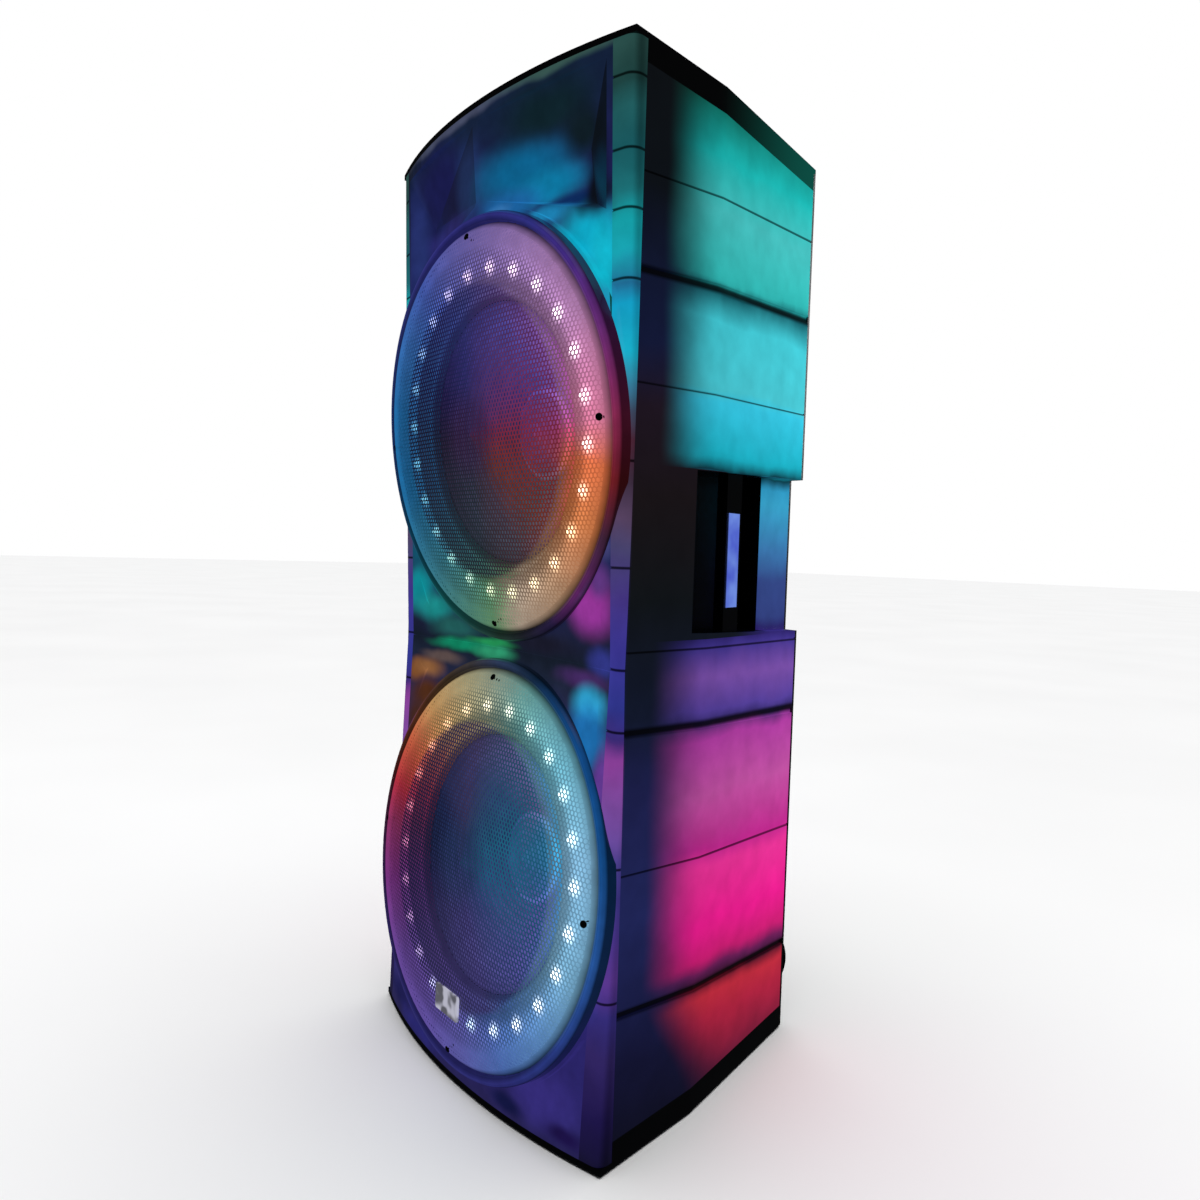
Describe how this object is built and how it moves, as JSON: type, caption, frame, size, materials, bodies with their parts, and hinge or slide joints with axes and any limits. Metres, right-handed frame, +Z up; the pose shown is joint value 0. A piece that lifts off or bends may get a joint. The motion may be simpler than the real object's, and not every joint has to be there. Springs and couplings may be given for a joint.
{
  "type": "party speaker",
  "caption": "Tall floor-standing party speaker with domed round woofer grilles, light-guide sides, faceted front, recessed side handles, rear controls and tilt-back wheels.",
  "frame": {"origin": "On the floor, under the middle of the whole object's bounding box.", "axes": "+X to the speaker's left as seen from behind it and to the right as seen by someone facing its front, +Y from the front to the back, +Z up."},
  "size_m": [0.452, 0.421, 1.05],
  "materials": {
    "fascia_plastic": "tinted clear-coated plastic lit from behind in blue, teal and purple",
    "corner_strip": "translucent clear-coated plastic with a colour gradient down its length",
    "light_guide": "translucent sheet lit from behind, teal at the top to red at the bottom",
    "cover_plastic": "fine-grained black plastic",
    "handle_plastic": "satin black moulding",
    "bezel_plastic": "smooth dark gloss",
    "grille_steel": "black powder coat on perforated sheet",
    "light_board_plastic": "white solder-mask and diffusing film",
    "light_lens": "clear domed lenses",
    "cast_frame": "black crackle paint on cast metal",
    "ferrite": "ground dark ferrite",
    "plate_steel": "zinc-plated mild steel",
    "surround_rubber": "satin black rubber",
    "spider_cloth": "phenolic-coated woven cloth",
    "cone_paper": "pressed paper pulp, dark grey",
    "coil_copper": "enamelled copper on a film former",
    "box_board": "bare particle board",
    "strip_diffuser": "milky light bars",
    "circuit_board": "green solder mask with an aluminium heat sink",
    "battery_wrap": "blue shrink wrap",
    "panel_paint": "fine textured black paint",
    "control_plastic": "satin black plastic",
    "smoked_window": "smoked clear plastic",
    "socket_metal": "nickel plate",
    "inlet_plastic": "heat-resistant black plastic",
    "wheel_rubber": "hard black rubber",
    "axle_steel": "bright steel bar",
    "foot_rubber": "soft black rubber",
    "badge_plate": "blank satin black plate",
    "black_fixings": "black-oxide steel"
  },
  "bodies": {
    "cabinet": {"upper_fascia": "fascia_plastic", "lower_fascia": "fascia_plastic", "left_corner_trim": "corner_strip", "right_corner_trim": "corner_strip", "left_side_panel": "light_guide", "right_side_panel": "light_guide", "top_cover": "cover_plastic", "bottom_cover": "cover_plastic", "rear_panel": "cover_plastic", "wheel_wells": "cover_plastic", "left_handle_cup": "handle_plastic", "right_handle_cup": "handle_plastic", "upper_bezel": "bezel_plastic", "lower_bezel": "bezel_plastic", "upper_grille": "grille_steel", "lower_grille": "grille_steel", "upper_light_board": "light_board_plastic", "lower_light_board": "light_board_plastic", "upper_lights": "light_lens", "lower_lights": "light_lens", "grip_lights": "light_lens", "upper_woofer_frame": "cast_frame", "lower_woofer_frame": "cast_frame", "upper_magnet": "ferrite", "lower_magnet": "ferrite", "upper_magnet_plates": "plate_steel", "lower_magnet_plates": "plate_steel", "upper_surround": "surround_rubber", "lower_surround": "surround_rubber", "upper_spider": "spider_cloth", "lower_spider": "spider_cloth", "inner_box": "box_board", "baffle_board": "box_board", "side_light_strips": "strip_diffuser", "amplifier_board": "circuit_board", "battery": "battery_wrap", "control_panel": "panel_paint", "display_window": "smoked_window", "jack_sockets": "socket_metal", "mains_inlet": "inlet_plastic", "axle_stubs": "axle_steel", "feet": "foot_rubber", "badge": "badge_plate", "screws": "black_fixings", "woofer_bolts": "black_fixings"},
    "upper_cone_set": {"upper_cone": "cone_paper", "upper_dust_cap": "cone_paper", "upper_voice_coil": "coil_copper"},
    "lower_cone_set": {"lower_cone": "cone_paper", "lower_dust_cap": "cone_paper", "lower_voice_coil": "coil_copper"},
    "left_wheel_body": {"left_wheel": "wheel_rubber"},
    "right_wheel_body": {"right_wheel": "wheel_rubber"},
    "treble_knob_body": {"treble_knob": "control_plastic"},
    "volume_knob_body": {"volume_knob": "control_plastic"},
    "microphone_knob_body": {"microphone_knob": "control_plastic"},
    "light_button_body": {"light_button": "control_plastic"},
    "play_button_body": {"play_button": "control_plastic"},
    "input_button_body": {"input_button": "control_plastic"},
    "power_rocker_body": {"power_rocker": "control_plastic"}
  },
  "joints": [
    {"name": "upper_cone_slide", "type": "slide", "parent": "cabinet", "child": "upper_cone_set", "axis": [0, -0.9936, -0.1132], "range_m": [-0.006, 0.006], "stiffness_N_per_m": 7500},
    {"name": "lower_cone_slide", "type": "slide", "parent": "cabinet", "child": "lower_cone_set", "axis": [0, -0.9936, 0.1132], "range_m": [-0.006, 0.006], "stiffness_N_per_m": 7500},
    {"name": "left_wheel_turn", "type": "hinge", "parent": "cabinet", "child": "left_wheel_body", "pos_m": [-0.111, 0.1745, 0.08], "axis": [1, 0, 0], "continuous": true},
    {"name": "right_wheel_turn", "type": "hinge", "parent": "cabinet", "child": "right_wheel_body", "pos_m": [0.111, 0.1745, 0.08], "axis": [1, 0, 0], "continuous": true},
    {"name": "treble_knob_turn", "type": "hinge", "parent": "cabinet", "child": "treble_knob_body", "pos_m": [-0.048, 0.1935, 0.85], "axis": [0, 1, 0], "range_deg": [-150, 150]},
    {"name": "volume_knob_turn", "type": "hinge", "parent": "cabinet", "child": "volume_knob_body", "pos_m": [0, 0.1935, 0.85], "axis": [0, 1, 0], "range_deg": [-150, 150]},
    {"name": "microphone_knob_turn", "type": "hinge", "parent": "cabinet", "child": "microphone_knob_body", "pos_m": [0.048, 0.1935, 0.85], "axis": [0, 1, 0], "range_deg": [-150, 150]},
    {"name": "light_button_press", "type": "slide", "parent": "cabinet", "child": "light_button_body", "axis": [0, -1, 0], "range_m": [0, 0.0015], "stiffness_N_per_m": 400},
    {"name": "play_button_press", "type": "slide", "parent": "cabinet", "child": "play_button_body", "axis": [0, -1, 0], "range_m": [0, 0.0015], "stiffness_N_per_m": 400},
    {"name": "input_button_press", "type": "slide", "parent": "cabinet", "child": "input_button_body", "axis": [0, -1, 0], "range_m": [0, 0.0015], "stiffness_N_per_m": 400},
    {"name": "power_rocker_tilt", "type": "hinge", "parent": "cabinet", "child": "power_rocker_body", "pos_m": [0.042, 0.1855, 0.65], "axis": [1, 0, 0], "range_deg": [0, 20]}
  ]
}
